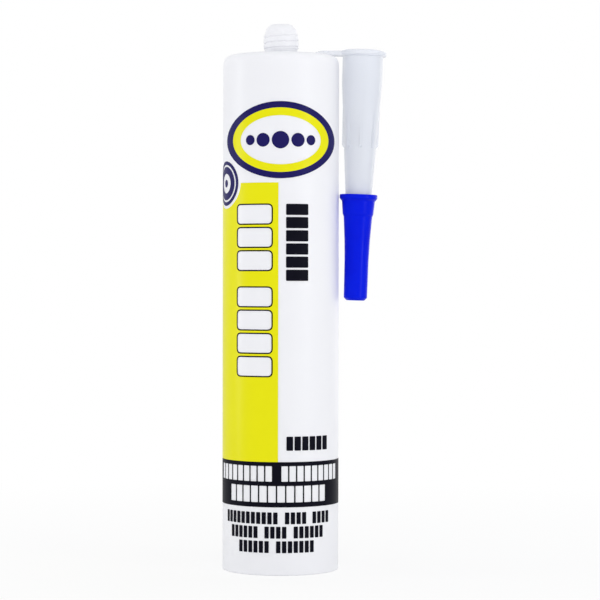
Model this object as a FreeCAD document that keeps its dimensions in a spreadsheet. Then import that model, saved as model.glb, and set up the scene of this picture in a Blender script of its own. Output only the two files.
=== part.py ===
import FreeCAD, Part
import math
import os
import Sketcher

# A caulk tube with its nozzle hung on the neck.
# Millimetres. The origin is on the tube's axis in the plane of its rear rim, +Z points up to the neck,
# -Y is the printed front, and the nozzle hangs on the +X side.

SIZES = {
    # barrel, shoulder and rear rim
    "tube_radius": 24.5,
    "tube_wall": 1.4,
    "shoulder_height": 216.8,
    "shoulder_plate": 2.2,
    "shoulder_corner": 4.2,
    "rim_edge": 0.5,
    "lead_in_step": 0.3,
    "lead_in_length": 12.0,
    # neck with its closed tip
    "neck_radius": 7.4,
    "neck_undercut": 0.45,
    "neck_base_height": 2.6,
    "neck_crest_height": 6.4,
    "neck_wall": 1.6,
    "tip_height": 4.2,
    "tip_radius": 4.35,
    "tip_plate": 1.2,
    # ring and tab that hang the nozzle on the neck
    "ring_clearance": 0.25,
    "ring_lift": 0.2,
    "ring_thickness": 0.9,
    "ring_width": 2.6,
    "tab_width": 8.0,
    "tab_foot_length": 4.2,
    "tab_slope_length": 3.0,
    "tab_rise": 0.9,
    # nozzle, measured down its own axis from the top of its flange
    "hang_gap": 10.15,
    "hang_lean": 1.68,
    "flange_above_tab": 0.4,
    "flange_radius": 9.9,
    "flange_thickness": 2.6,
    "flange_edge": 0.7,
    "socket_clearance": 0.1,
    "socket_depth": 13.3,
    "nozzle_wall": 1.0,
    "cone_end_depth": 102.5,
    "cone_end_radius": 3.0,
    # gripping ribs round the upper part of the nozzle's cone
    "rib_count": 8,
    "rib_radius": 7.65,
    "rib_end_depth": 40.4,
    "rib_foot_depth": 41.8,
    "rib_thickness": 1.2,
    # cap on the nozzle's tip
    "cap_clearance": 0.15,
    "cap_mouth_depth": 60.9,
    "cap_rim_radius": 8.0,
    "cap_rim_height": 1.6,
    "cap_rim_slope": 1.2,
    "cap_collar_radius": 7.0,
    "cap_collar_end_radius": 6.5,
    "cap_collar_depth": 69.2,
    "cap_neck_radius": 6.05,
    "cap_neck_depth": 70.2,
    "cap_waist_radius": 5.4,
    "cap_waist_depth": 80.2,
    "cap_grip_radius": 5.1,
    "cap_grip_depth": 88.7,
    "cap_end_radius": 4.95,
    "cap_floor": 1.8,
    "cap_tip_room": 1.4,
    "cap_end_chamfer": 1.2,
    # plunger and the paste above it
    "plunger_front": 32.2,
    "plunger_height": 17.0,
    "plunger_clearance": 0.08,
    "plunger_lip_height": 3.0,
    "plunger_lip_step": 0.75,
    "plunger_front_chamfer": 1.2,
    "plunger_wall": 1.5,
    "plunger_plate": 1.8,
    "plunger_rib_count": 8,
    "plunger_rib_thickness": 1.2,
    "plunger_rib_height": 2.0,
    "plunger_boss_radius": 4.0,
    "paste_gap": 0.05,
    # ink films; angles run round the tube in degrees from the front, to the right as seen, and drops run
    # down from the shoulder
    "ink_thickness": 0.1,
    "band_low": 28.3,
    "band_high": 47.0,
    "field_drop": 54.4,
    "field_right_angle": -1.9,
    "field_left_angle": -128.0,
    "badge_angle": -68.0,
    "badge_drop": 54.3,
    "badge_radius": 9.3,
    "badge_margin": 1.3,
    "badge_ring_width": 1.5,
    "badge_gap_width": 0.8,
    "badge_inner_ring_width": 2.9,
    "badge_dot_radius": 1.6,
    "oval_drop": 36.8,
    "oval_half_width": 22.4,
    "oval_half_height": 15.9,
    "oval_navy_width": 2.6,
    "oval_yellow_width": 3.2,
    "bead_radius": 3.6,
    "bead_shrink": 0.75,
    "bead_gap": 0.9,
    "title_angle": -27.4,
    "title_width": 15.9,
    "title_lower_drop": 134.3,
    "title_letter": 7.7,
    "title_gap": 1.9,
    "title_corner": 1.7,
    "title_outline": 0.55,
    "title_lower_count": 4,
    "title_upper_drop": 90.5,
    "title_upper_count": 3,
    "side_word_drop": 95.0,
    "side_word_letter": 4.6,
    "side_word_gap": 0.84,
    "side_word_count": 6,
    "side_word_left_angle": 5.5,
    "side_word_right_angle": 28.0,
    "letter_gap": 1.4,
    "small_word_low": 51.7,
    "small_word_height": 5.8,
    "small_word_middle": 29.2,
    "small_word_letter": 6.5,
    "band_upper_low": 38.9,
    "band_upper_height": 6.4,
    "band_upper_middle": -3.2,
    "band_upper_letter": 6.4,
    "band_lower_low": 30.3,
    "band_lower_height": 6.8,
    "band_lower_middle": -3.3,
    "band_lower_letter": 7.5,
    "foot_upper_low": 21.3,
    "foot_middle_low": 15.4,
    "foot_lower_low": 9.4,
    "foot_text_height": 4.9,
    "foot_text_middle": -4.4,
    "foot_text_letter": 4.3,
}

# letters in each word of the generic lines of print
SMALL_WORD = [6]
BAND_UPPER_WORDS = [9, 9]
BAND_LOWER_WORDS = [12]
FOOT_UPPER_WORDS = [11, 4, 4]
FOOT_MIDDLE_WORDS = [6, 4, 6]
FOOT_LOWER_WORDS = [6, 7]

# how far a cutting tool, or a prism that is trimmed to a film, stands clear of the ink film on both sides
REACH = 4.0

doc = FreeCAD.newDocument("caulk_tube")
sheet = doc.addObject("Spreadsheet::Sheet", "sizes")
for row, (alias, value) in enumerate(SIZES.items(), start=1):
    sheet.set(f"A{row}", alias)
    sheet.set(f"B{row}", str(value))
    sheet.setAlias(f"B{row}", alias)
doc.recompute()


def number(expression):
    """The plain number that an expression on the sheet gives now."""
    result = sheet.evalExpression(str(expression))
    return float(getattr(result, "Value", result))


# Sizes worked out from the sheet, as expressions.
BORE = "(sizes.tube_radius - sizes.tube_wall)"
LEAD_IN = f"({BORE} + sizes.lead_in_step)"
SHOULDER_INSIDE = "(sizes.shoulder_height - sizes.shoulder_plate)"
SHOULDER_INNER_CORNER = "(sizes.shoulder_corner - sizes.tube_wall)"
NECK_ROOT = "(sizes.neck_radius - sizes.neck_undercut)"
NECK_BORE = f"({NECK_ROOT} - sizes.neck_wall)"
CREST_LOW = "(sizes.shoulder_height + sizes.neck_base_height)"
CREST_HIGH = f"({CREST_LOW} + sizes.neck_crest_height)"
NECK_TOP = f"({CREST_HIGH} + sizes.tip_height)"
TIP_BORE = "(sizes.tip_radius - sizes.tip_plate)"
RING_LOW = "(sizes.shoulder_height + sizes.ring_lift)"
RING_TOP = f"({RING_LOW} + sizes.ring_thickness)"
RING_BORE = f"({NECK_ROOT} + sizes.ring_clearance)"
TAB_TOP = f"({RING_TOP} + sizes.tab_rise)"
FLANGE_TOP = f"({TAB_TOP} + sizes.flange_above_tab)"
HANG_DISTANCE = "(sizes.tube_radius + sizes.hang_gap)"
SOCKET_BORE = "(sizes.neck_radius + sizes.socket_clearance)"
SOCKET_RADIUS = f"({SOCKET_BORE} + sizes.nozzle_wall)"
CONE_FALL = f"(({SOCKET_RADIUS} - sizes.cone_end_radius) / (sizes.cone_end_depth - sizes.socket_depth))"
FILM = "(sizes.tube_radius + sizes.ink_thickness)"
FIELD_HIGH = "(sizes.shoulder_height - sizes.field_drop)"
BADGE_HEIGHT = "(sizes.shoulder_height - sizes.badge_drop)"
OVAL_HEIGHT = "(sizes.shoulder_height - sizes.oval_drop)"
TITLE_LOWER_LOW = "(sizes.shoulder_height - sizes.title_lower_drop)"
TITLE_UPPER_LOW = "(sizes.shoulder_height - sizes.title_upper_drop)"
SIDE_WORD_LOW = "(sizes.shoulder_height - sizes.side_word_drop)"


def cone_radius(depth):
    """Outside radius of the nozzle's cone at a depth below its flange."""
    return f"({SOCKET_RADIUS} - ({depth} - sizes.socket_depth) * {CONE_FALL})"


def origin_plane(body, role):
    return next(item for item in body.Origin.OriginFeatures if item.Role == role)


def bind(owner, bindings):
    for name, expression in bindings.items():
        owner.setExpression(name, str(expression))


def new_sketch(body, name, right="0", up="0", out="0", turn=None, lean=None):
    """A sketch on the body's front plane, moved by expressions.

    right and up shift it in its own plane, out shifts it along its normal towards the front, turn swings it
    round the tube's axis and lean tips it in its own plane.
    """
    sketch = body.newObject("Sketcher::SketchObject", name)
    sketch.AttachmentSupport = [(origin_plane(body, "XZ_Plane"), "")]
    sketch.MapMode = "FlatFace"
    angle = turn or lean
    if angle:
        axis = FreeCAD.Vector(0, 1, 0) if turn else FreeCAD.Vector(0, 0, 1)
        sketch.AttachmentOffset = FreeCAD.Placement(FreeCAD.Vector(), FreeCAD.Rotation(axis, 1))
        sketch.setExpression("AttachmentOffset.Rotation.Angle", str(angle))
    if turn:
        bind(sketch, {
            "AttachmentOffset.Base.x": f"{right} * cos({turn} * 1 deg) + {out} * sin({turn} * 1 deg)",
            "AttachmentOffset.Base.y": up,
            "AttachmentOffset.Base.z": f"{out} * cos({turn} * 1 deg) - {right} * sin({turn} * 1 deg)",
        })
    else:
        bind(sketch, {
            "AttachmentOffset.Base.x": right,
            "AttachmentOffset.Base.y": up,
            "AttachmentOffset.Base.z": out,
        })
    return sketch


def place_point(sketch, geometry, end, x, y):
    """Ties one end of a line, or an arc's centre, to a place given by two expressions."""
    for kind, expression in (("DistanceX", x), ("DistanceY", y)):
        constraint = Sketcher.Constraint(kind, -1, 1, geometry, end, number(expression))
        index = sketch.addConstraint(constraint)
        sketch.setExpression(f"Constraints[{index}]", str(expression))


def outline(sketch, corners):
    """A closed outline of straight lines through corners given as pairs of expressions."""
    points = [FreeCAD.Vector(number(x), number(y), 0) for x, y in corners]
    first = sketch.GeometryCount
    count = len(points)
    for i in range(count):
        sketch.addGeometry(Part.LineSegment(points[i], points[(i + 1) % count]))
    for i in range(count):
        sketch.addConstraint(Sketcher.Constraint("Coincident", first + i, 2, first + (i + 1) % count, 1))
    for i, (x, y) in enumerate(corners):
        place_point(sketch, first + i, 1, x, y)


def rounded_rectangle(sketch, half_width, low, high, corner):
    """A rectangle about the sketch's upright axis with four round corners."""
    side = f"({half_width} - {corner})"
    bottom = f"({low} + {corner})"
    top = f"({high} - {corner})"
    runs = [
        (f"-{side}", low, side, low),
        (half_width, bottom, half_width, top),
        (side, high, f"-{side}", high),
        (f"-{half_width}", top, f"-{half_width}", bottom),
    ]
    centres = [(side, bottom, -90), (side, top, 0), (f"-{side}", top, 90), (f"-{side}", bottom, 180)]
    run = sketch.GeometryCount
    turn = run + len(runs)
    for x0, y0, x1, y1 in runs:
        start = FreeCAD.Vector(number(x0), number(y0), 0)
        end = FreeCAD.Vector(number(x1), number(y1), 0)
        sketch.addGeometry(Part.LineSegment(start, end))
    for x, y, start_angle in centres:
        centre = FreeCAD.Vector(number(x), number(y), 0)
        circle = Part.Circle(centre, FreeCAD.Vector(0, 0, 1), number(corner))
        first = math.radians(start_angle)
        sketch.addGeometry(Part.ArcOfCircle(circle, first, first + math.pi / 2))
    for i, (x0, y0, x1, y1) in enumerate(runs):
        place_point(sketch, run + i, 1, x0, y0)
        place_point(sketch, run + i, 2, x1, y1)
        sketch.addConstraint(Sketcher.Constraint("Coincident", run + i, 2, turn + i, 1))
        sketch.addConstraint(Sketcher.Constraint("Coincident", turn + i, 2, run + (i + 1) % 4, 1))
        radius = sketch.addConstraint(Sketcher.Constraint("Radius", turn + i, number(corner)))
        sketch.setExpression(f"Constraints[{radius}]", str(corner))


def disc(sketch, radius):
    """A circle about the sketch's own origin."""
    circle = sketch.addGeometry(Part.Circle(FreeCAD.Vector(), FreeCAD.Vector(0, 0, 1), number(radius)))
    sketch.addConstraint(Sketcher.Constraint("Coincident", circle, 3, -1, 1))
    index = sketch.addConstraint(Sketcher.Constraint("Radius", circle, number(radius)))
    sketch.setExpression(f"Constraints[{index}]", str(radius))


def oval(sketch, half_width, half_height):
    """An ellipse about the sketch's own origin, wider than high."""
    curve = sketch.addGeometry(Part.Ellipse(FreeCAD.Vector(), number(half_width), number(half_height)))
    sketch.exposeInternalGeometry(curve)
    long_axis = curve + 1
    short_axis = curve + 2
    sketch.addConstraint(Sketcher.Constraint("Coincident", curve, 3, -1, 1))
    sketch.addConstraint(Sketcher.Constraint("Horizontal", long_axis))
    for axis, half in ((long_axis, half_width), (short_axis, half_height)):
        index = sketch.addConstraint(Sketcher.Constraint("Distance", axis, 2 * number(half)))
        sketch.setExpression(f"Constraints[{index}]", f"2 * {half}")


def feature(body, kind, name, sketch, bound=None, **fixed):
    """One solid feature made from a sketch, with bound values given as expressions."""
    made = body.newObject(f"PartDesign::{kind}", name)
    made.Profile = (sketch, [""])
    if kind in ("Revolution", "Groove"):
        made.ReferenceAxis = (sketch, ["V_Axis"])
    for key, value in fixed.items():
        setattr(made, key, value)
    bind(made, bound or {})
    doc.recompute()
    return made


def turned(body, name, corners, kind="Revolution", angle="360", **frame):
    """A turned solid, or a turned cut, from an outline beside the axis."""
    sketch = new_sketch(body, name + "_outline", **frame)
    outline(sketch, corners)
    doc.recompute()
    return feature(body, kind, name, sketch, bound={"Angle": angle})


def pattern(body, name, original, count, angle, axis):
    """Copies of a feature spread evenly over an angle, or round a whole turn."""
    made = body.newObject("PartDesign::PolarPattern", name)
    made.Originals = [original]
    made.Axis = axis
    bind(made, {"Angle": angle, "Occurrences": count})
    body.Tip = made
    doc.recompute()
    return made


def round_edges(body, name, radius, ring_radius, height=None):
    """Rounds the circular edges of one radius, and of one height where that is given."""
    base = body.Tip
    names = []
    for index, edge in enumerate(base.Shape.Edges, start=1):
        curve = edge.Curve
        if not hasattr(curve, "Radius") or abs(curve.Radius - number(ring_radius)) > 1e-4:
            continue
        if height is None or abs(curve.Center.z - number(height)) < 1e-4:
            names.append(f"Edge{index}")
    rounding = body.newObject("PartDesign::Fillet", name)
    rounding.Base = (base, names)
    rounding.setExpression("Radius", str(radius))
    doc.recompute()


def new_body(label):
    body = doc.addObject("PartDesign::Body", label)
    body.Label = label
    return body


# The cartridge: one moulding with an open rear, a shoulder plate and a neck that is closed until cut.
cartridge = new_body("cartridge")
turned(cartridge, "cartridge_shell", [
    (LEAD_IN, "0"),
    ("sizes.tube_radius", "0"),
    ("sizes.tube_radius", "sizes.shoulder_height"),
    (NECK_ROOT, "sizes.shoulder_height"),
    (NECK_ROOT, CREST_LOW),
    ("sizes.neck_radius", CREST_LOW),
    ("sizes.neck_radius", CREST_HIGH),
    ("sizes.tip_radius", NECK_TOP),
    ("0", NECK_TOP),
    ("0", f"{NECK_TOP} - sizes.tip_plate"),
    (TIP_BORE, f"{NECK_TOP} - sizes.tip_plate"),
    (NECK_BORE, CREST_HIGH),
    (NECK_BORE, SHOULDER_INSIDE),
    (BORE, SHOULDER_INSIDE),
    (BORE, "sizes.lead_in_length"),
    (LEAD_IN, "sizes.lead_in_length"),
])
round_edges(cartridge, "shoulder_round", "sizes.shoulder_corner", "sizes.tube_radius", "sizes.shoulder_height")
round_edges(cartridge, "shoulder_inner_round", SHOULDER_INNER_CORNER, BORE, SHOULDER_INSIDE)
round_edges(cartridge, "rim_round", "sizes.rim_edge", "sizes.tube_radius", "0")

# The plunger: a cup with two sealing lips, and a flat front plate that low ribs stiffen on its rear face.
PLUNGER_LIP = f"({BORE} - sizes.plunger_clearance)"
PLUNGER_WAIST = f"({PLUNGER_LIP} - sizes.plunger_lip_step)"
PLUNGER_INSIDE = f"({PLUNGER_WAIST} - sizes.plunger_wall)"
PLUNGER_REAR = "(sizes.plunger_front - sizes.plunger_height)"
PLATE_UNDERSIDE = "(sizes.plunger_front - sizes.plunger_plate)"
FRONT_LIP_HIGH = "(sizes.plunger_front - sizes.plunger_front_chamfer)"
FRONT_LIP_LOW = f"({FRONT_LIP_HIGH} - sizes.plunger_lip_height)"
REAR_LIP_HIGH = f"({PLUNGER_REAR} + sizes.plunger_lip_height)"
RIB_LOW = f"({PLATE_UNDERSIDE} - sizes.plunger_rib_height)"
RIB_HIGH = f"({PLATE_UNDERSIDE} + sizes.plunger_plate / 2)"
RIB_END = f"({PLUNGER_INSIDE} + sizes.plunger_wall / 2)"
plunger = new_body("plunger")
turned(plunger, "plunger_cup", [
    (PLUNGER_INSIDE, PLUNGER_REAR),
    (PLUNGER_LIP, PLUNGER_REAR),
    (PLUNGER_LIP, REAR_LIP_HIGH),
    (PLUNGER_WAIST, f"{REAR_LIP_HIGH} + sizes.plunger_lip_step"),
    (PLUNGER_WAIST, f"{FRONT_LIP_LOW} - sizes.plunger_lip_step"),
    (PLUNGER_LIP, FRONT_LIP_LOW),
    (PLUNGER_LIP, FRONT_LIP_HIGH),
    (f"{PLUNGER_LIP} - sizes.plunger_front_chamfer", "sizes.plunger_front"),
    ("0", "sizes.plunger_front"),
    ("0", PLATE_UNDERSIDE),
    (PLUNGER_INSIDE, PLATE_UNDERSIDE),
])
turned(plunger, "plunger_boss", [
    ("0", RIB_LOW),
    ("sizes.plunger_boss_radius", RIB_LOW),
    ("sizes.plunger_boss_radius", RIB_HIGH),
    ("0", RIB_HIGH),
])
rib_sketch = new_sketch(plunger, "plunger_rib_outline")
outline(rib_sketch, [
    ("sizes.plunger_boss_radius / 2", RIB_LOW),
    (RIB_END, RIB_LOW),
    (RIB_END, RIB_HIGH),
    ("sizes.plunger_boss_radius / 2", RIB_HIGH),
])
plunger_rib = feature(plunger, "Pad", "plunger_rib", rib_sketch,
                      bound={"Length": "sizes.plunger_rib_thickness"}, SideType="Symmetric")
pattern(plunger, "plunger_ribs", plunger_rib, "sizes.plunger_rib_count", "360",
        (origin_plane(plunger, "Z_Axis"), [""]))

# The sealant: the fill between the plunger's plate and the inside of the shoulder.
PASTE_RADIUS = f"({BORE} - sizes.paste_gap)"
PASTE_TOP = f"({SHOULDER_INSIDE} - sizes.paste_gap)"
sealant = new_body("sealant")
turned(sealant, "sealant_fill", [
    ("0", "sizes.plunger_front + sizes.paste_gap"),
    (PASTE_RADIUS, "sizes.plunger_front + sizes.paste_gap"),
    (PASTE_RADIUS, f"{PASTE_TOP} - {SHOULDER_INNER_CORNER}"),
    (f"{PASTE_RADIUS} - {SHOULDER_INNER_CORNER}", PASTE_TOP),
    ("0", PASTE_TOP),
])

# The nozzle: one translucent moulding of cone, ribs, socket, flange, tab and hanging ring.
HANG = {"right": HANG_DISTANCE, "up": FLANGE_TOP, "lean": "-sizes.hang_lean"}
nozzle = new_body("nozzle")
turned(nozzle, "nozzle_shell", [
    (SOCKET_BORE, "0"),
    ("sizes.flange_radius", "0"),
    ("sizes.flange_radius", "-sizes.flange_thickness"),
    (SOCKET_RADIUS, "-sizes.flange_thickness"),
    (SOCKET_RADIUS, "-sizes.socket_depth"),
    ("sizes.cone_end_radius", "-sizes.cone_end_depth"),
    ("sizes.cone_end_radius - sizes.nozzle_wall", "-sizes.cone_end_depth"),
    (SOCKET_BORE, "-sizes.socket_depth"),
], **HANG)
round_edges(nozzle, "flange_round", "sizes.flange_edge", "sizes.flange_radius")

# each rib rises out of the cone and ends in a short slope
RIB_START_DEPTH = "(sizes.socket_depth + sizes.nozzle_wall)"
nozzle_rib_sketch = new_sketch(nozzle, "nozzle_rib_outline", **HANG)
outline(nozzle_rib_sketch, [
    (f"{cone_radius(RIB_START_DEPTH)} - sizes.nozzle_wall / 2", f"-{RIB_START_DEPTH}"),
    ("sizes.rib_radius", "-sizes.rib_end_depth"),
    (f"{cone_radius('sizes.rib_foot_depth')} - sizes.nozzle_wall / 2", "-sizes.rib_foot_depth"),
])
nozzle_rib = feature(nozzle, "Pad", "nozzle_rib", nozzle_rib_sketch,
                     bound={"Length": "sizes.rib_thickness"}, SideType="Symmetric")
pattern(nozzle, "nozzle_ribs", nozzle_rib, "sizes.rib_count", "360", (nozzle_rib_sketch, ["V_Axis"]))

# the ring lies on the shoulder round the plain foot of the neck, and the tab rises from it to the flange
RING_RADIUS = f"({RING_BORE} + sizes.ring_width)"
tab_sketch = new_sketch(nozzle, "tab_outline")
TAB_START = f"({RING_BORE} + sizes.ring_width / 2)"
TAB_FOOT_END = f"({RING_RADIUS} + sizes.tab_foot_length)"
TAB_SLOPE_END = f"({TAB_FOOT_END} + sizes.tab_slope_length)"
TAB_END = f"({HANG_DISTANCE} - {SOCKET_BORE} - sizes.nozzle_wall / 2)"
outline(tab_sketch, [
    (TAB_START, RING_LOW),
    (TAB_END, RING_LOW),
    (TAB_END, TAB_TOP),
    (TAB_SLOPE_END, TAB_TOP),
    (TAB_FOOT_END, RING_TOP),
    (TAB_START, RING_TOP),
])
feature(nozzle, "Pad", "tab", tab_sketch, bound={"Length": "sizes.tab_width"}, SideType="Symmetric")
turned(nozzle, "ring", [
    (RING_BORE, RING_LOW),
    (RING_RADIUS, RING_LOW),
    (RING_RADIUS, RING_TOP),
    (RING_BORE, RING_TOP),
])

# The cap: a closed sleeve over the nozzle's tip, with a rim at its mouth.
CAP_INSIDE_END = "(sizes.cone_end_depth + sizes.cap_tip_room)"
CAP_END = f"({CAP_INSIDE_END} + sizes.cap_floor)"
CAP_RIM_FOOT = "(sizes.cap_mouth_depth + sizes.cap_rim_height)"
nozzle_cap = new_body("nozzle_cap")
turned(nozzle_cap, "cap_shell", [
    (f"{cone_radius('sizes.cap_mouth_depth')} + sizes.cap_clearance", "-sizes.cap_mouth_depth"),
    ("sizes.cap_rim_radius", "-sizes.cap_mouth_depth"),
    ("sizes.cap_rim_radius", f"-{CAP_RIM_FOOT}"),
    ("sizes.cap_collar_radius", f"-({CAP_RIM_FOOT} + sizes.cap_rim_slope)"),
    ("sizes.cap_collar_end_radius", "-sizes.cap_collar_depth"),
    ("sizes.cap_neck_radius", "-sizes.cap_neck_depth"),
    ("sizes.cap_waist_radius", "-sizes.cap_waist_depth"),
    ("sizes.cap_grip_radius", "-sizes.cap_grip_depth"),
    ("sizes.cap_end_radius", f"-({CAP_END} - sizes.cap_end_chamfer)"),
    ("sizes.cap_end_radius - sizes.cap_end_chamfer", f"-{CAP_END}"),
    ("0", f"-{CAP_END}"),
    ("0", f"-{CAP_INSIDE_END}"),
    (f"{cone_radius(CAP_INSIDE_END)} + sizes.cap_clearance", f"-{CAP_INSIDE_END}"),
], **HANG)

# The print: three films of ink, one to a colour, on the outside of the barrel.
STAMP_PLANE = f"(sizes.tube_radius - {REACH})"


def stamp(body, name, kind, drawings, height="0", angle="0", out=STAMP_PLANE):
    """Prisms that stand through the barrel's wall at an angle round it, added or cut.

    drawings lists (function, sizes) pairs that draw closed lines, and a line inside another is a hole.
    """
    sketch = new_sketch(body, name + "_outline", up=height, out=out, turn=angle)
    for draw, values in drawings:
        draw(sketch, *values)
    doc.recompute()
    length = f"sizes.tube_radius + {REACH} - {out}"
    return feature(body, kind, name, sketch, bound={"Length": length}, Reversed=kind == "Pocket")


def trim_to_film(body):
    """Cuts away what lies inside the barrel's surface and what lies outside the ink."""
    turned(body, body.Label + "_core", [
        ("0", "0"),
        ("sizes.tube_radius", "0"),
        ("sizes.tube_radius", "sizes.shoulder_height"),
        ("0", "sizes.shoulder_height"),
    ], kind="Groove")
    turned(body, body.Label + "_outside", [
        (FILM, "0"),
        ("2 * sizes.tube_radius", "0"),
        ("2 * sizes.tube_radius", "sizes.shoulder_height"),
        (FILM, "sizes.shoulder_height"),
    ], kind="Groove")


def film_block(kind, low, high):
    """The section of a strip of film, or of a window cut through it."""
    inner = "sizes.tube_radius" if kind == "Revolution" else STAMP_PLANE
    outer = FILM if kind == "Revolution" else f"(sizes.tube_radius + {REACH})"
    return [(inner, low), (outer, low), (outer, high), (inner, high)]


def letter_row(body, name, kind, words, middle, low, height, letter):
    """A line of print as plain blocks, one to a letter, with one letter's room between words."""
    slots = sum(words) + len(words) - 1
    pitch = f"({letter} + sizes.letter_gap)"
    start = f"({middle} - ({slots} * {pitch} - sizes.letter_gap) / 2)"
    section = film_block(kind, low, f"({low} + {height})")
    done = 0
    for index, count in enumerate(words):
        turn = f"({start} + {done} * {pitch} - 90)"
        block = turned(body, f"{name}_letter_{index}", section, kind=kind, angle=letter, turn=turn)
        pattern(body, f"{name}_word_{index}", block, count, f"({count} - 1) * {pitch}",
                (origin_plane(body, "Z_Axis"), [""]))
        done += count + 1


def title_word(body, name, kind, low, count, grown):
    """One word of the upright title: rounded blocks above each other, each grown by margins all round."""
    drawings = []
    for grow in grown:
        half_width = f"(sizes.title_width / 2 + {grow})"
        high = f"(sizes.title_letter + {grow})"
        drawings.append((rounded_rectangle, (half_width, f"(0 - {grow})", high, f"(sizes.title_corner + {grow})")))
    letter = stamp(body, name + "_letter", kind, drawings, height=low, angle="sizes.title_angle")
    made = body.newObject("PartDesign::LinearPattern", name)
    made.Originals = [letter]
    made.Direction = (letter.Profile[0], ["V_Axis"])
    bind(made, {
        "Length": f"({count} - 1) * (sizes.title_letter + sizes.title_gap)",
        "Occurrences": count,
    })
    body.Tip = made
    doc.recompute()


TITLE_WORDS = {
    "title_lower": (TITLE_LOWER_LOW, "sizes.title_lower_count"),
    "title_upper": (TITLE_UPPER_LOW, "sizes.title_upper_count"),
}

# the oval badge has a navy rim, a yellow band inside it and a white middle
YELLOW_OVAL = ("(sizes.oval_half_width - sizes.oval_navy_width)", "(sizes.oval_half_height - sizes.oval_navy_width)")
WHITE_OVAL = tuple(f"({half} - sizes.oval_yellow_width)" for half in YELLOW_OVAL)

# Navy: the oval's rim, the beads in its middle and the rings of the round badge.
navy = new_body("navy_print")
stamp(navy, "oval_rim", "Pad", [
    (oval, ("sizes.oval_half_width", "sizes.oval_half_height")),
    (oval, YELLOW_OVAL),
], height=OVAL_HEIGHT, out="0")
bead_radii = [f"(sizes.bead_radius - {i} * sizes.bead_shrink)" for i in range(3)]
bead_angle = "0"
for i, radius in enumerate(bead_radii):
    if i > 0:
        step = f"({bead_radii[i - 1]} + {radius} + sizes.bead_gap) / sizes.tube_radius * 180 / pi"
        bead_angle = f"({bead_angle} + {step})"
    for side in ("", "-") if i > 0 else ("",):
        stamp(navy, f"bead_{i}_{side or '+'}", "Pad", [(disc, (radius,))],
              height=OVAL_HEIGHT, angle=f"({side}{bead_angle})")
BADGE_RING_INSIDE = "(sizes.badge_radius - sizes.badge_ring_width)"
BADGE_INNER_RING = f"({BADGE_RING_INSIDE} - sizes.badge_gap_width)"
stamp(navy, "badge_rings", "Pad", [
    (disc, ("sizes.badge_radius",)),
    (disc, (BADGE_RING_INSIDE,)),
    (disc, (BADGE_INNER_RING,)),
    (disc, (f"({BADGE_INNER_RING} - sizes.badge_inner_ring_width)",)),
    (disc, ("sizes.badge_dot_radius",)),
], height=BADGE_HEIGHT, angle="sizes.badge_angle")
trim_to_film(navy)

# Yellow: the oval's band, and the field with room left for the title and the round badge.
yellow = new_body("yellow_print")
stamp(yellow, "oval_band", "Pad", [(oval, YELLOW_OVAL), (oval, WHITE_OVAL)], height=OVAL_HEIGHT, out="0")
trim_to_film(yellow)
turned(yellow, "field", film_block("Revolution", "sizes.band_high", FIELD_HIGH),
       angle="sizes.field_right_angle - sizes.field_left_angle", turn="(sizes.field_left_angle - 90)")
stamp(yellow, "badge_margin", "Pocket", [(disc, ("(sizes.badge_radius + sizes.badge_margin)",))],
      height=BADGE_HEIGHT, angle="sizes.badge_angle")
for word, (low, count) in TITLE_WORDS.items():
    title_word(yellow, word, "Pocket", low, count, ["sizes.title_outline"])

# Black: the title's outlines, the band with two lines left white in it, and the other lines of print.
title_lines = new_body("title_lines")
for word, (low, count) in TITLE_WORDS.items():
    title_word(title_lines, word, "Pad", low, count, ["sizes.title_outline", "0"])
trim_to_film(title_lines)
band = new_body("band")
turned(band, "band_strip", film_block("Revolution", "sizes.band_low", "sizes.band_high"))
letter_row(band, "band_upper", "Groove", BAND_UPPER_WORDS, "sizes.band_upper_middle",
           "sizes.band_upper_low", "sizes.band_upper_height", "sizes.band_upper_letter")
letter_row(band, "band_lower", "Groove", BAND_LOWER_WORDS, "sizes.band_lower_middle",
           "sizes.band_lower_low", "sizes.band_lower_height", "sizes.band_lower_letter")
small_word = new_body("small_word")
letter_row(small_word, "small", "Revolution", SMALL_WORD, "sizes.small_word_middle",
           "sizes.small_word_low", "sizes.small_word_height", "sizes.small_word_letter")
foot_lines = []
for line, words in (
    ("foot_upper", FOOT_UPPER_WORDS),
    ("foot_middle", FOOT_MIDDLE_WORDS),
    ("foot_lower", FOOT_LOWER_WORDS),
):
    foot_line = new_body(line)
    letter_row(foot_line, line, "Revolution", words, "sizes.foot_text_middle",
               f"sizes.{line}_low", "sizes.foot_text_height", "sizes.foot_text_letter")
    foot_lines.append(foot_line)
side_word = new_body("side_word")
side_sketch = new_sketch(side_word, "side_word_outline", turn="(sizes.side_word_left_angle - 90)")
for i in range(round(number("sizes.side_word_count"))):
    letter_low = f"({SIDE_WORD_LOW} + {i} * (sizes.side_word_letter + sizes.side_word_gap))"
    outline(side_sketch, film_block("Revolution", letter_low, f"({letter_low} + sizes.side_word_letter)"))
doc.recompute()
feature(side_word, "Revolution", "side_word_letters", side_sketch,
        bound={"Angle": "sizes.side_word_right_angle - sizes.side_word_left_angle"})
black = doc.addObject("Part::Compound", "black_print")
black.Label = "black_print"
black.Links = [title_lines, band, small_word, *foot_lines, side_word]

doc.recompute()
for item in doc.Objects:
    if "Invalid" in item.State or "Error" in item.State:
        raise RuntimeError(f"{item.Name} is {item.State}")
pieces = [cartridge, plunger, sealant, nozzle, nozzle_cap, yellow, navy, black]
for piece in pieces:
    if piece.Shape.isNull() or not piece.Shape.isValid():
        raise RuntimeError(f"{piece.Label} has no valid shape")

os.makedirs("parts", exist_ok=True)
for piece in pieces:
    piece.Shape.exportStep(f"parts/{piece.Label}.step")
    print(f"{piece.Label}: {len(piece.Shape.Solids)} solid(s), {piece.Shape.Volume:.1f} mm3")
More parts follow.
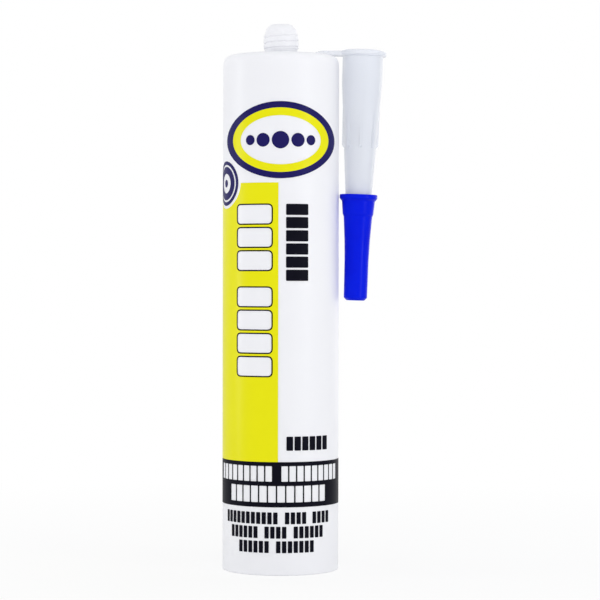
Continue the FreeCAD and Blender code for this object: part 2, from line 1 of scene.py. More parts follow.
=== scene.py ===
# %% [markdown]
# A caulk tube, dressed for a product picture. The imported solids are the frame: they say where each piece
# is and how it moves. This file gives each piece its real surface. It is read from top to bottom, one
# short cell at a time, and each step says what the piece is on the real tube before it makes it.

# %% Load the frame
import math

import bmesh
import bpy
from mathutils import Matrix, Vector


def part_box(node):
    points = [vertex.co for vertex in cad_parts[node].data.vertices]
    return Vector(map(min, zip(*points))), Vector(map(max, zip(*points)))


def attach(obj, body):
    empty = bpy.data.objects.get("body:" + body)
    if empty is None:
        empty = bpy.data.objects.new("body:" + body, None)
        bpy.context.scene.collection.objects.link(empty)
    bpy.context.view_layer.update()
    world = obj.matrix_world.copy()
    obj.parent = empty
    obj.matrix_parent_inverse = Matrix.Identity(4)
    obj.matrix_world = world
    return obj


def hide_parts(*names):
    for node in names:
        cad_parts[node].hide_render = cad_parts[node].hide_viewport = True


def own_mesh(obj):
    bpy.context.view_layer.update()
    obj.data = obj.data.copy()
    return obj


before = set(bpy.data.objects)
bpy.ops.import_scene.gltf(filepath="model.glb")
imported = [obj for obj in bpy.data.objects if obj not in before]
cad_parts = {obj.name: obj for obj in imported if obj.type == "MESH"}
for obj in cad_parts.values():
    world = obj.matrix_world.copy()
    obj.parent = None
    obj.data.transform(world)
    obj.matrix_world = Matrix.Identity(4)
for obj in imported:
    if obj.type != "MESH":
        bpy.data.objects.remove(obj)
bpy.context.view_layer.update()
MM = 0.001

# %% [markdown]
# Every main size is read from the solids, so the looks stay on the frame. The tube's radius and the
# height of its neck come from the cartridge's own box. The fine sizes that no box shows, such as wall
# thicknesses, are written once here, in millimetres like the drawing of a moulded part.

# %% Read the driving sizes from the frame
tube_low, tube_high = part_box("cartridge")
nozzle_low, nozzle_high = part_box("nozzle")
cap_low, cap_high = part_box("nozzle_cap")
plunger_low, plunger_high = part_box("plunger")
sealant_low, sealant_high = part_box("sealant")

tube_radius = tube_high.x / MM
neck_top = tube_high.z / MM
print(f"tube {2 * tube_radius:.1f} mm across, {neck_top:.1f} mm to the neck's tip")

# %% [markdown]
# Nearly everything here was turned, blown or moulded round an axis, so one lathe makes most of it: an
# outline in radius and height, swept round. A real mould has no knife-sharp corners, so each corner of
# the outline carries a radius and becomes a short arc. Those small arcs catch the light as bright lines
# along the edges, and without them plastic looks like cut card.


# %% A helper that rounds the corners of an outline
def soften(corners, steps=6):
    """Points of a closed outline of (x, y, corner radius), with an arc at each corner that has a radius."""
    points = []
    count = len(corners)
    for i, (x, y, radius) in enumerate(corners):
        here = Vector((x, y))
        to_last = Vector(corners[i - 1][:2]) - here
        to_next = Vector(corners[(i + 1) % count][:2]) - here
        turn = math.pi - to_last.angle(to_next)
        if radius <= 0 or turn < 1e-3:
            points.append((x, y))
            continue
        cut = min(radius * math.tan(turn / 2), to_last.length * 0.49, to_next.length * 0.49)
        start = here + to_last.normalized() * cut
        end = here + to_next.normalized() * cut
        for k in range(steps + 1):
            t = k / steps
            mix = start * (1 - t) ** 2 + here * (2 * t * (1 - t)) + end * t ** 2
            points.append((mix.x, mix.y))
    return points


# %% The lathe
def lathe(name, outline, segments, place=Matrix.Identity(4), shape=None):
    """A closed turned mesh from a closed outline of (radius, height) in mm, with an optional shape(r, z, angle)."""
    mesh = bpy.data.meshes.new(name)
    build = bmesh.new()
    rings = []
    for radius, height in outline:
        if radius < 1e-6:
            rings.append([build.verts.new((0, 0, height * MM))])
            continue
        ring = []
        for k in range(segments):
            angle = 2 * math.pi * k / segments
            r = shape(radius, height, angle) if shape else radius
            ring.append(build.verts.new((r * MM * math.cos(angle), r * MM * math.sin(angle), height * MM)))
        rings.append(ring)
    for i, ring in enumerate(rings):
        after = rings[(i + 1) % len(rings)]
        if len(ring) == 1 and len(after) == 1:
            continue
        for k in range(segments):
            m = (k + 1) % segments
            corners = [ring[k % len(ring)], ring[m % len(ring)], after[m % len(after)], after[k % len(after)]]
            build.faces.new(list(dict.fromkeys(corners)))
    bmesh.ops.recalc_face_normals(build, faces=build.faces)
    build.to_mesh(mesh)
    build.free()
    mesh.transform(place)
    piece = bpy.data.objects.new(name, mesh)
    bpy.context.scene.collection.objects.link(piece)
    return smooth(piece)


def smooth(piece, angle=35):
    """Smooth shading that keeps the edges sharper than the angle."""
    piece.data.polygons.foreach_set("use_smooth", [True] * len(piece.data.polygons))
    piece.data.set_sharp_from_angle(angle=math.radians(angle))
    print(f"{piece.name}: {len(piece.data.polygons)} faces")
    return piece


# %% [markdown]
# The materials are built from nodes alone. A helper starts each one: it sets the plain values on the
# shader itself, and it adds a faint bump from noise, because moulded polyethylene is never optically
# flat. Colours are written the way a paint chart gives them and turned into linear light by one formula.


# %% Helpers for materials
def linear(red, green, blue):
    """A display colour of 0 to 255 as linear light with full alpha."""
    def channel(value):
        value /= 255
        return value / 12.92 if value <= 0.04045 else ((value + 0.055) / 1.055) ** 2.4
    return (channel(red), channel(green), channel(blue), 1)


def plastic(name, first, second, patch, grain, bump, **values):
    """A moulded finish: two close colours in soft patches, and a fine grain in the surface.

    patch and grain are sizes in mm, bump is a depth in mm.
    """
    material = bpy.data.materials.new(name)
    material.use_nodes = True
    nodes, links = material.node_tree.nodes, material.node_tree.links
    shader = nodes["Principled BSDF"]
    for socket, value in values.items():
        shader.inputs[socket.replace("_", " ")].default_value = value
    place = nodes.new("ShaderNodeTexCoord")
    clouds = nodes.new("ShaderNodeTexNoise")
    clouds.inputs["Scale"].default_value = 1 / (patch * MM)
    clouds.inputs["Detail"].default_value = 3
    tint = nodes.new("ShaderNodeMix")
    tint.data_type = "RGBA"
    tint.inputs["A"].default_value = first
    tint.inputs["B"].default_value = second
    links.new(place.outputs["Object"], clouds.inputs["Vector"])
    links.new(clouds.outputs["Fac"], tint.inputs["Factor"])
    links.new(tint.outputs["Result"], shader.inputs["Base Color"])
    pores = nodes.new("ShaderNodeTexNoise")
    pores.inputs["Scale"].default_value = 1 / (grain * MM)
    relief = nodes.new("ShaderNodeBump")
    relief.inputs["Strength"].default_value = 0.6
    relief.inputs["Distance"].default_value = bump * MM
    links.new(place.outputs["Object"], pores.inputs["Vector"])
    links.new(pores.outputs["Fac"], relief.inputs["Height"])
    links.new(relief.outputs["Normal"], shader.inputs["Normal"])
    return material


def dress(piece, material):
    piece.data.materials.clear()
    piece.data.materials.append(material)


# %% [markdown]
# The cartridge is one blow of white high-density polyethylene: a straight barrel, a shoulder with a
# generous round, and a neck that is moulded shut until somebody cuts it. Its finish is satin, smooth
# enough for a long soft highlight and a little cloudy inside, so a touch of subsurface scattering takes
# the hardness out of the shading.

# %% White polyethylene
white_plastic = plastic(
    "white polyethylene", linear(243, 243, 246), linear(240, 240, 244), patch=30, grain=0.9, bump=0.006,
    Roughness=0.34, IOR=1.45, Specular_IOR_Level=0.3, Subsurface_Weight=0.25, Subsurface_Scale=0.003,
    Subsurface_Radius=(1, 1, 1),
)

# %% [markdown]
# The thread on the neck is a helix: its crest climbs one pitch in one turn. It could be swept along a
# curve and joined to the neck, but a lathe with many thin rings can carry it directly. Each point asks
# how far along the pitch it is at its own height and angle, and stands out where the crest passes. The
# crest fades in and out at the ends as a moulded thread does.

# %% The neck's thread
tip_height, tip_radius = 4.2, 4.35
neck_radius, neck_root, thread_root = 7.4, 6.95, 7.0
thread_pitch = 2.4
thread_low = neck_top - tip_height - 6.4
thread_high = neck_top - tip_height


def crest(position):
    """Height of the thread's section, 0 to 1, at a position along the pitch, 0 to 1."""
    ramp = 0.12
    away = abs((position % 1) - 0.5)
    return max(0.0, min(1.0, (0.46 - away) / ramp))


def neck_shape(radius, height, angle):
    """The radius of the neck's outside, with the helix on its threaded stretch."""
    on_side = radius > neck_root - 0.05 and thread_low <= height <= thread_high and radius < neck_radius + 0.01
    if not on_side:
        return radius
    fade = min(1.0, (height - thread_low) / 0.8, (thread_high - height) / 0.8)
    position = (height - thread_low) / thread_pitch - angle / (2 * math.pi) + 0.5
    return thread_root + (neck_radius - thread_root) * crest(position) * max(0.0, fade)


# %% [markdown]
# The cartridge's outline runs up the outside, over the shoulder, up the neck, and back down the inside
# to the open rear. The long straight stretch of the barrel needs no rings between its ends. The threaded
# stretch gets a ring every tenth of a millimetre.

# %% Turn the cartridge
shoulder = thread_low - 2.6
wall, plate, lead_in = 1.4, 2.2, 12.0
bore = tube_radius - wall
neck_bore = neck_root - 1.6
tip_swell_radius = 6.55
lower = soften([
    (bore + 0.3, 0, 0.15), (tube_radius, 0, 0.5), (tube_radius, shoulder, 4.2), (neck_root, shoulder, 0.35),
    (neck_root, thread_low, 0), (tip_swell_radius, neck_top - tip_height * 0.45, 6.0), (tip_radius, neck_top, 0.7),
    (0, neck_top, 0), (0, neck_top - 1.2, 0),
    (tip_radius - 1.2, neck_top - 1.2, 0.3), (neck_bore, thread_high, 0.3), (neck_bore, shoulder - plate, 0.4),
    (bore, shoulder - plate, 2.8), (bore, lead_in, 0), (bore + 0.3, lead_in, 0),
], steps=8)
foot = max(i for i, (r, z) in enumerate(lower) if abs(z - thread_low) < 1e-6)
rows = 64
threaded = [(neck_root, thread_low + (thread_high - thread_low) * k / rows) for k in range(1, rows + 1)]
tube_outline = lower[:foot + 1] + threaded + lower[foot + 1:]
tube_shell = lathe("tube_shell", tube_outline, 192, shape=neck_shape)
dress(tube_shell, white_plastic)
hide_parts("cartridge")
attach(tube_shell, "tube")

# %% [markdown]
# Behind the shoulder lies the paste, and behind the paste the plunger. Nobody sees them from the front,
# but the tube is open at its rear, and the plunger travels up the barrel as the paste goes out.

# %% The paste
paste_plastic = plastic(
    "white sealant paste", linear(238, 238, 235), linear(230, 230, 226), patch=8, grain=1.5, bump=0.05,
    Roughness=0.5, IOR=1.45, Subsurface_Weight=0.15, Subsurface_Scale=0.003, Subsurface_Radius=(1, 1, 1),
)
paste_top, paste_foot = sealant_high.z / MM, sealant_low.z / MM
paste = lathe("sealant_paste", soften([
    (0, paste_foot, 0), (sealant_high.x / MM, paste_foot, 0), (sealant_high.x / MM, paste_top, 4.0),
    (0, paste_top, 0),
]), 96)
dress(paste, paste_plastic)
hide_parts("sealant")
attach(paste, "tube")
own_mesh(paste)

# %% The plunger
plunger_plastic = plastic(
    "natural polyethylene", linear(226, 226, 222), linear(218, 219, 214), patch=12, grain=1.2, bump=0.01,
    Roughness=0.45, IOR=1.5, Subsurface_Weight=0.1, Subsurface_Scale=0.002, Subsurface_Radius=(1, 1, 1),
)
dress(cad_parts["plunger"], plunger_plastic)

# %% [markdown]
# The nozzle hangs upside down, so it has a frame of its own: down its axis from the top of its flange.
# That axis leans a little, with its tip towards the tube, because the ring on the neck holds the nozzle at
# one side only. The flange's top lies just above the ring, and the ring lies on the shoulder.

# %% The nozzle's own frame
ring_low, ring_top = shoulder + 0.2, shoulder + 1.1
tab_top = ring_top + 0.9
hang_distance = tube_radius + 10.15
hang_lean = math.radians(1.68)
flange_top = tab_top + 0.4
hang = (
    Matrix.Translation(Vector((hang_distance, 0, flange_top)) * MM)
    @ Matrix.Rotation(hang_lean, 4, "Y")
)

# %% [markdown]
# The nozzle is natural polyethylene with nothing added, so it is milky and lets light through. Bending the
# light as glass does would be wrong here, because a millimetre of milky wall only scatters it. So each
# surface covers a little more than half of what lies behind it: one wall alone is a veil, and four walls in
# a row, as in the socket with its ribs, are nearly solid.

# %% Translucent polyethylene
clear_plastic = plastic(
    "milky polyethylene", linear(240, 243, 249), linear(236, 239, 247), patch=10, grain=0.8, bump=0.01,
    Roughness=0.35, IOR=1.45, Specular_IOR_Level=0.35, Alpha=0.5,
)

# %% Turn the nozzle's shell
socket_bore, socket_radius, nozzle_wall = 7.5, 8.5, 1.0
socket_depth, cone_end, cone_end_radius = 13.3, 102.5, 3.0
flange_radius, flange_thickness = 9.9, 2.6
cone_fall = (socket_radius - cone_end_radius) / (cone_end - socket_depth)


def cone_radius(depth):
    return socket_radius - (depth - socket_depth) * cone_fall


def socket_thread(radius, depth, angle):
    """The socket's inner wall carries the thread that the neck screws into."""
    down = -depth
    if abs(radius - socket_bore) > 1e-3 or not 2.0 < down < 12.0:
        return radius
    fade = min(1.0, (down - 2.0) / 0.8, (12.0 - down) / 0.8)
    return radius - 0.35 * crest(down / thread_pitch + angle / (2 * math.pi)) * fade


shell = soften([
    (flange_radius, 0, 0.7), (flange_radius, -flange_thickness, 0.7), (socket_radius, -flange_thickness, 0.5),
    (socket_radius, -socket_depth, 2.0), (cone_end_radius, -cone_end, 0.3),
    (cone_end_radius - nozzle_wall, -cone_end, 0.2), (socket_bore, -socket_depth, 1.5),
])
shell += [(socket_bore, -12.0 + 0.125 * k) for k in range(81)]
shell += [(socket_bore, -0.3), (socket_bore + 0.3, 0)]
nozzle_shell = lathe("nozzle_shell", shell, 128, shape=socket_thread)

# %% [markdown]
# Eight ribs stand on the cone below the socket, for the fingers that screw the nozzle on. Each starts
# inside the cone's wall and rises out of it, because its outer edge is nearly upright while the cone
# falls away. The ribs, the tab and the ring are moulded with the cone in one shot, so they are joined to
# it by a boolean union: a clear material would show every hidden wall where pieces only overlap.


# %% A helper for flat plates with softened edges
def plate_piece(name, outline, thickness, place):
    """A flat plate of an outline in mm in the XZ plane, its thickness along Y, with small bevels."""
    build = bmesh.new()
    front = [build.verts.new((x * MM, -thickness / 2 * MM, z * MM)) for x, z in outline]
    back = [build.verts.new((x * MM, thickness / 2 * MM, z * MM)) for x, z in outline]
    build.faces.new(front)
    build.faces.new(list(reversed(back)))
    for i in range(len(outline)):
        m = (i + 1) % len(outline)
        build.faces.new([front[i], back[i], back[m], front[m]])
    bmesh.ops.recalc_face_normals(build, faces=build.faces)
    bmesh.ops.bevel(build, geom=build.edges[:], offset=0.25 * MM, segments=2, affect="EDGES")
    mesh = bpy.data.meshes.new(name)
    build.to_mesh(mesh)
    build.free()
    mesh.transform(place)
    piece = bpy.data.objects.new(name, mesh)
    bpy.context.scene.collection.objects.link(piece)
    return piece


def join_mouldings(base, others):
    """Joins solids into the base with boolean unions, and removes them."""
    for other in others:
        union = base.modifiers.new(other.name, "BOOLEAN")
        union.operation = "UNION"
        union.solver = "EXACT"
        union.object = other
    graph = bpy.context.evaluated_depsgraph_get()
    mesh = bpy.data.meshes.new_from_object(base.evaluated_get(graph))
    base.modifiers.clear()
    base.data = mesh
    for other in others:
        bpy.data.objects.remove(other)
    return smooth(base)


# %% Ribs, tab and ring
rib_count, rib_radius, rib_end, rib_foot, rib_thickness = 8, 7.65, 40.4, 41.8, 1.2
rib_start = socket_depth + nozzle_wall
rib_outline = [
    (cone_radius(rib_start) - nozzle_wall / 2, -rib_start),
    (rib_radius, -rib_end),
    (cone_radius(rib_foot) - nozzle_wall / 2, -rib_foot),
]
mouldings = []
for k in range(rib_count):
    turn = Matrix.Rotation(2 * math.pi * k / rib_count, 4, "Z")
    mouldings.append(plate_piece(f"rib_{k}", rib_outline, rib_thickness, turn))
nozzle_shell = join_mouldings(nozzle_shell, mouldings)
nozzle_shell.data.transform(hang)

ring_bore, ring_width = neck_root + 0.25, 2.6
ring = lathe("ring", soften([
    (ring_bore, ring_low, 0.3), (ring_bore + ring_width, ring_low, 0.3), (ring_bore + ring_width, ring_top, 0.3),
    (ring_bore, ring_top, 0.3),
], steps=3), 96)
tab_width, tab_foot, tab_slope = 8.0, 4.2, 3.0
tab_start, tab_end = ring_bore + ring_width / 2, hang_distance - socket_bore - nozzle_wall / 2
tab_foot_end = ring_bore + ring_width + tab_foot
tab = plate_piece("tab", [
    (tab_start, ring_low), (tab_end, ring_low), (tab_end, tab_top), (tab_foot_end + tab_slope, tab_top),
    (tab_foot_end, ring_top), (tab_start, ring_top),
], tab_width, Matrix.Identity(4))
nozzle_shell = join_mouldings(nozzle_shell, [tab, ring])
dress(nozzle_shell, clear_plastic)
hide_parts("nozzle")
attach(nozzle_shell, "nozzle")

# %% [markdown]
# The cap is a hollow sleeve of deep blue polypropylene. A strong blue has almost no red or green in it, so
# the base colour stays pure, and the gloss is kept low, because every bit of white reflection turns the
# blue to a pale violet. Its outline does the rest: a rim to push against with a thumbnail, a short collar,
# a step, and a concave flare that runs into a slim grip.

# %% The blue cap
blue_plastic = plastic(
    "blue polypropylene", linear(0, 36, 236), linear(0, 4, 196), patch=16, grain=2.0, bump=0.008,
    Roughness=0.25, IOR=1.4, Specular_IOR_Level=0.1,
)
mouth, rim_radius, rim_height, rim_slope = 60.9, 8.0, 1.6, 1.2
cap_inside_end = cone_end + 1.4
cap_end = cap_inside_end + 1.8
cap_gap = 0.15
cap_outline = soften([
    (cone_radius(mouth) + cap_gap, -mouth, 0.3), (rim_radius, -mouth, 0.4), (rim_radius, -mouth - rim_height, 0.5),
    (7.0, -mouth - rim_height - rim_slope, 1.2), (6.5, -69.2, 0.5), (6.05, -70.2, 0.6), (5.4, -80.2, 30),
    (5.1, -88.7, 60), (4.95, -cap_end + 1.2, 0.5), (3.75, -cap_end, 0.5), (0, -cap_end, 0), (0, -cap_inside_end, 0),
    (cone_radius(cap_inside_end) + cap_gap, -cap_inside_end, 0.4),
], steps=8)
cap_sleeve = lathe("cap_sleeve", cap_outline, 128, place=hang)
dress(cap_sleeve, blue_plastic)
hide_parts("nozzle_cap")
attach(cap_sleeve, "cap")

# %% [markdown]
# The print is ink on the round barrel. Painting it in the tube's material would blur at the edges, and a
# picture is not wanted, so each colour is a film of its own, cut flat and then wrapped. A flat sheet is
# drawn as closed lines, where a line inside another makes a hole. It is filled, sliced into narrow
# upright strips so that it can bend, wrapped round the barrel, and given a hair of thickness. A band that
# goes right round meets itself at the back, so its ends are welded and the wall between them goes.


# %% Cut a flat sheet and wrap it round the barrel
def wrap(loops, name, material, node):
    """A film of ink from closed loops of (angle in radians from the front, height in mm)."""
    curve = bpy.data.curves.new(name, "CURVE")
    curve.dimensions = "2D"
    curve.fill_mode = "BOTH"
    for loop in loops:
        line = curve.splines.new("POLY")
        line.points.add(len(loop) - 1)
        for point, (angle, height) in zip(line.points, loop):
            point.co = (angle * tube_radius, height, 0, 1)
        line.use_cyclic_u = True
    drawn = bpy.data.objects.new(name, curve)
    bpy.context.scene.collection.objects.link(drawn)
    graph = bpy.context.evaluated_depsgraph_get()
    flat = bpy.data.meshes.new_from_object(drawn.evaluated_get(graph))
    bpy.data.objects.remove(drawn)

    build = bmesh.new()
    build.from_mesh(flat)
    bmesh.ops.remove_doubles(build, verts=build.verts, dist=1e-4)
    strip = tube_radius * math.radians(2.5)
    widths = [vertex.co.x for vertex in build.verts]
    first, last = math.ceil(min(widths) / strip), math.floor(max(widths) / strip)
    for k in range(first, last + 1):
        cut = Vector((k * strip, 0, 0))
        geometry = build.verts[:] + build.edges[:] + build.faces[:]
        bmesh.ops.bisect_plane(build, geom=geometry, plane_co=cut, plane_no=(1, 0, 0), dist=1e-5)
    sheet = build.faces[:]
    lifted = bmesh.ops.extrude_face_region(build, geom=sheet)["geom"]
    outer = {item for item in lifted if isinstance(item, bmesh.types.BMVert)}
    for vertex in build.verts:
        radius = (tube_radius + (0.07 if vertex in outer else 0.015)) * MM
        angle = vertex.co.x / tube_radius
        vertex.co = (radius * math.sin(angle), -radius * math.cos(angle), vertex.co.y * MM)
    bmesh.ops.remove_doubles(build, verts=build.verts, dist=1e-7)
    seam = [face for face in build.faces if all(len(edge.link_faces) > 2 for edge in face.edges)]
    bmesh.ops.delete(build, geom=seam, context="FACES_ONLY")
    bmesh.ops.recalc_face_normals(build, faces=build.faces)
    mesh = bpy.data.meshes.new(name)
    build.to_mesh(mesh)
    build.free()
    film = bpy.data.objects.new(name, mesh)
    bpy.context.scene.collection.objects.link(film)
    smooth(film, 30)
    dress(film, material)
    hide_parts(node)
    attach(film, "tube")
    return film


# %% [markdown]
# Four kinds of line are enough for the whole print. A block is a rectangle with slightly soft corners,
# as squeegeed ink has. A stamped shape is one that was drawn flat in front of the tube and pressed
# straight back onto it, such as the oval and the discs: its sideways sizes turn into angles by an arcsine.


# %% Lines for the print
def block(left, right, low, high, corner):
    """A rectangle from angles in degrees and heights in mm, with round corners in mm."""
    x0, x1 = math.radians(left) * tube_radius, math.radians(right) * tube_radius
    corners = [(x0, low, corner), (x1, low, corner), (x1, high, corner), (x0, high, corner)]
    return [(x / tube_radius, z) for x, z in soften(corners, steps=5)]


def stamped(points, middle_angle, middle_height):
    """Flat points in mm, pressed straight onto the barrel at an angle in degrees and a height."""
    middle = math.radians(middle_angle)
    return [(middle + math.asin(x / tube_radius), middle_height + z) for x, z in points]


def ellipse(half_width, half_height, steps=144):
    turns = [2 * math.pi * k / steps for k in range(steps)]
    return [(half_width * math.cos(t), half_height * math.sin(t)) for t in turns]


def letter_row(words, middle, low, height, letter, gap=1.4):
    """Blocks for a line of print, one to a letter, with one letter's room between words."""
    pitch = letter + gap
    slots = sum(words) + len(words) - 1
    start = middle - (slots * pitch - gap) / 2
    blocks = []
    slot = 0
    for count in words:
        for _ in range(count):
            left = start + slot * pitch
            blocks.append(block(left, left + letter, low, low + height, 0.3))
            slot += 1
        slot += 1
    return blocks


# %% [markdown]
# The inks are screen printed. Each lies a little unevenly, so each has two close tones. Their gloss is
# kept low, so that the dark ones stay dark in the white light.

# %% Inks
yellow_ink = plastic(
    "yellow ink", linear(233, 229, 10), linear(228, 223, 4), patch=14, grain=0.7, bump=0.004,
    Roughness=0.3, IOR=1.45, Specular_IOR_Level=0.15,
)
navy_ink = plastic(
    "navy ink", linear(26, 20, 92), linear(22, 16, 84), patch=6, grain=0.7, bump=0.004,
    Roughness=0.4, IOR=1.4, Specular_IOR_Level=0.15,
)
black_ink = plastic(
    "black ink", linear(14, 14, 27), linear(9, 9, 20), patch=6, grain=0.7, bump=0.004,
    Roughness=0.4, IOR=1.4, Specular_IOR_Level=0.06,
)

# %% The oval badge and the round badge
oval_height, oval_width, oval_rise = 180.0, 22.4, 15.9
navy_rim, yellow_rim = 2.6, 3.2
rim_loop = stamped(ellipse(oval_width, oval_rise), 0, oval_height)
yellow_loop = stamped(ellipse(oval_width - navy_rim, oval_rise - navy_rim), 0, oval_height)
white_loop = stamped(
    ellipse(oval_width - navy_rim - yellow_rim, oval_rise - navy_rim - yellow_rim), 0, oval_height)

bead_loops = []
bead_radii = [3.6, 2.85, 2.1]
bead_gap = 0.9
bead_angle = 0.0
for i, radius in enumerate(bead_radii):
    if i:
        bead_angle += math.degrees((bead_radii[i - 1] + radius + bead_gap) / tube_radius)
    for side in (1, -1) if i else (1,):
        bead_loops.append(stamped(ellipse(radius, radius, 48), side * bead_angle, oval_height))

badge_angle, badge_height, badge_radius = -68.0, 162.5, 9.3
badge_loops = [
    stamped(ellipse(radius, radius, 96), badge_angle, badge_height)
    for radius in (badge_radius, badge_radius - 1.5, badge_radius - 2.3, badge_radius - 5.2, 1.6)
]
wrap([rim_loop, yellow_loop] + bead_loops + badge_loops, "navy_film", navy_ink, "navy_print")

# %% The title's blocks
title_angle, title_width, title_letter, title_gap = -27.4, 15.9, 7.7, 1.9
title_outline, title_corner = 0.55, 1.7


def title_loops(grow):
    """Rounded blocks in two words, one above the other, each grown all round."""
    loops = []
    for low, count in ((82.5, 4), (126.3, 3)):
        for i in range(count):
            foot_height = low + i * (title_letter + title_gap) - grow
            half = title_width / 2 + grow
            corner = title_corner + grow
            top = foot_height + title_letter + 2 * grow
            flat = soften([(-half, foot_height, corner), (half, foot_height, corner),
                           (half, top, corner), (-half, top, corner)], steps=8)
            loops.append(stamped(flat, title_angle, 0))
    return loops


# %% The yellow field
band_low, band_high, field_high = 28.3, 47.0, 162.4
field_left, field_right = -128.0, -1.9
notch_radius = badge_radius + 1.3


def field_loop():
    """The field's outline, with a bay at its top edge that leaves a white margin round the badge."""
    drop = field_high - badge_height
    reach = math.asin(math.sqrt(notch_radius ** 2 - drop ** 2) / tube_radius)
    middle = math.radians(badge_angle)
    bay = []
    steps = 40
    start = math.atan2(drop, tube_radius * math.sin(reach))
    for k in range(steps + 1):
        t = start + (-math.pi - 2 * start) * k / steps
        bay.append((middle + math.asin(notch_radius * math.cos(t) / tube_radius),
                    badge_height + notch_radius * math.sin(t)))
    left, right = math.radians(field_left), math.radians(field_right)
    return [(left, band_high), (right, band_high), (right, field_high)] + bay + [(left, field_high)]


wrap([field_loop(), yellow_loop, white_loop] + title_loops(title_outline),
     "yellow_film", yellow_ink, "yellow_print")

# %% [markdown]
# The black ink carries everything that was lettering. The words are left out, and plain blocks hold their
# places: one block to a letter, in rows as high and as wide as print of this kind.

# %% The black print
band_loops = [[(math.radians(a), z) for a, z in (
    (-180, band_low), (180, band_low), (180, band_high), (-180, band_high))]]
band_loops += letter_row([9, 9], -3.2, 38.9, 6.4, 6.4)
band_loops += letter_row([12], -3.3, 30.3, 6.8, 7.5)
small_loops = letter_row([6], 29.2, 51.7, 5.8, 6.5)
small_loops += letter_row([11, 4, 4], -4.4, 21.3, 4.9, 4.3)
small_loops += letter_row([6, 4, 6], -4.4, 15.4, 4.9, 4.3)
small_loops += letter_row([6, 7], -4.4, 9.4, 4.9, 4.3)
side_loops = [block(5.5, 28.0, 121.8 + i * 5.44, 126.4 + i * 5.44, 0.5) for i in range(6)]
wrap(band_loops + small_loops + side_loops + title_loops(title_outline) + title_loops(0),
     "black_film", black_ink, "black_print")

# %% [markdown]
# The picture is a plain product shot: a level camera, far back with a long lens, on a white ground. The
# lens and the distance follow from two things in the photograph, how wide the tube is and how much its
# end curves bow.

# %% Camera
camera_data = bpy.data.cameras.new("camera")
camera_data.lens = 132.36
camera_data.sensor_width = 36
camera_data.clip_end = 100
camera = bpy.data.objects.new("camera", camera_data)
camera.location = (0.00813, -0.934, 0.123)
camera.rotation_euler = (math.radians(90 - 0.571), math.radians(-0.1), 0)
bpy.context.scene.collection.objects.link(camera)
bpy.context.scene.camera = camera

# %% [markdown]
# A white object on a white ground needs light that wraps, or its edges vanish. The world gives an even
# pale light. A tall strip at each side brightens the flanks and leaves the middle of the barrel a little
# greyer, and its mirror image is the pale upright streak in the ink and on the cap. The camera, mirror
# images and the milky plastic see pure white behind.

# %% World and lamps
world = bpy.data.worlds.new("studio")
bpy.context.scene.world = world
world.use_nodes = True
tree = world.node_tree
background = tree.nodes["Background"]
background.inputs["Color"].default_value = (0.97, 0.98, 1, 1)
background.inputs["Strength"].default_value = 0.78
white = tree.nodes.new("ShaderNodeBackground")
white.inputs["Color"].default_value = (1, 1, 1, 1)
white.inputs["Strength"].default_value = 1
ray = tree.nodes.new("ShaderNodeLightPath")
seen = tree.nodes.new("ShaderNodeMath")
seen.operation = "MAXIMUM"
pick = tree.nodes.new("ShaderNodeMixShader")
mirrored = tree.nodes.new("ShaderNodeMath")
mirrored.operation = "MAXIMUM"
tree.links.new(ray.outputs["Is Glossy Ray"], mirrored.inputs[0])
tree.links.new(ray.outputs["Is Transmission Ray"], mirrored.inputs[1])
tree.links.new(ray.outputs["Is Camera Ray"], seen.inputs[0])
tree.links.new(mirrored.outputs["Value"], seen.inputs[1])
tree.links.new(seen.outputs["Value"], pick.inputs["Fac"])
tree.links.new(background.outputs["Background"], pick.inputs[1])
tree.links.new(white.outputs["Background"], pick.inputs[2])
tree.links.new(pick.outputs["Shader"], tree.nodes["World Output"].inputs["Surface"])


def soft_box(name, place, target, size, power):
    lamp = bpy.data.lights.new(name, "AREA")
    lamp.shape = "RECTANGLE"
    lamp.size, lamp.size_y = size
    lamp.energy = power
    holder = bpy.data.objects.new(name, lamp)
    holder.location = place
    holder.rotation_euler = (Vector(target) - Vector(place)).to_track_quat("-Z", "Y").to_euler()
    bpy.context.scene.collection.objects.link(holder)


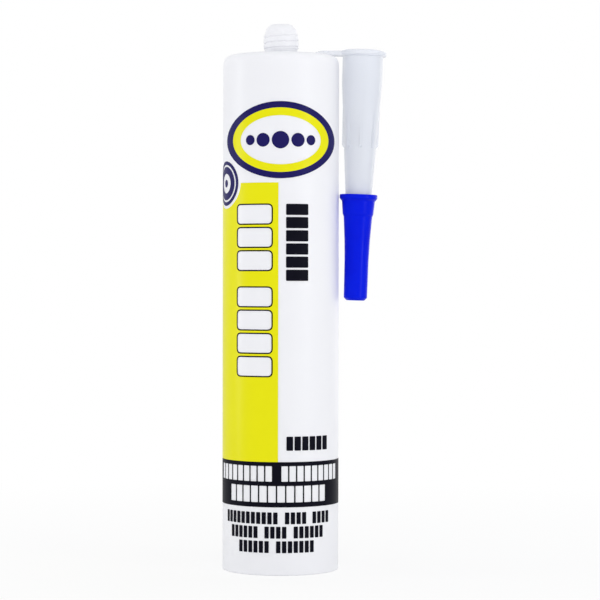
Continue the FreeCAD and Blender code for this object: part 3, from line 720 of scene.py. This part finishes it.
soft_box("left_strip", (-0.9, -0.02, 0.16), (0, 0, 0.12), (0.16, 0.6), 1.7)
soft_box("right_strip", (0.72, -0.56, 0.16), (0, 0, 0.12), (0.12, 0.6), 1.55)
soft_box("rear_light", (0.5, 0.75, 0.25), (0.03, 0, 0.17), (0.3, 0.5), 0.5)
soft_box("front_fill", (0.1, -1.35, 0.85), (0, 0, 0.12), (0.8, 0.6), 3.6)

# %% [markdown]
# The floor is white paper. Near the tube part of what the camera sees of it is real shading, so the tube
# stands in its own soft shadow, and further away it fades to plain white, so that no horizon line shows.

# %% Floor
floor_mesh = bpy.data.meshes.new("floor")
side = 40.0
floor_mesh.from_pydata([(-side, -side, 0), (side, -side, 0), (side, side, 0), (-side, side, 0)], [], [(0, 1, 2, 3)])
floor = bpy.data.objects.new("floor", floor_mesh)
bpy.context.scene.collection.objects.link(floor)
floor_paint = bpy.data.materials.new("pale floor")
floor_paint.use_nodes = True
nodes, links = floor_paint.node_tree.nodes, floor_paint.node_tree.links
nodes["Principled BSDF"].inputs["Base Color"].default_value = (0.9, 0.9, 0.9, 1)
nodes["Principled BSDF"].inputs["Roughness"].default_value = 0.9
glow = nodes.new("ShaderNodeEmission")
glow.inputs["Color"].default_value = (1, 1, 1, 1)
glow.inputs["Strength"].default_value = 1
floor_ray = nodes.new("ShaderNodeLightPath")
floor_place = nodes.new("ShaderNodeTexCoord")
away = nodes.new("ShaderNodeVectorMath")
away.operation = "LENGTH"
share = nodes.new("ShaderNodeMapRange")
for socket, value in (("From Min", 0.04), ("From Max", 0.4), ("To Min", 0.8), ("To Max", 1.0)):
    share.inputs[socket].default_value = value
seen_share = nodes.new("ShaderNodeMath")
seen_share.operation = "MULTIPLY"
blend_floor = nodes.new("ShaderNodeMixShader")
links.new(floor_place.outputs["Object"], away.inputs[0])
links.new(away.outputs["Value"], share.inputs["Value"])
links.new(share.outputs["Result"], seen_share.inputs[0])
links.new(floor_ray.outputs["Is Camera Ray"], seen_share.inputs[1])
links.new(seen_share.outputs["Value"], blend_floor.inputs["Fac"])
links.new(nodes["Principled BSDF"].outputs["BSDF"], blend_floor.inputs[1])
links.new(glow.outputs["Emission"], blend_floor.inputs[2])
links.new(blend_floor.outputs["Shader"], nodes["Material Output"].inputs["Surface"])
floor.data.materials.append(floor_paint)

bpy.context.scene.view_settings.view_transform = "Standard"
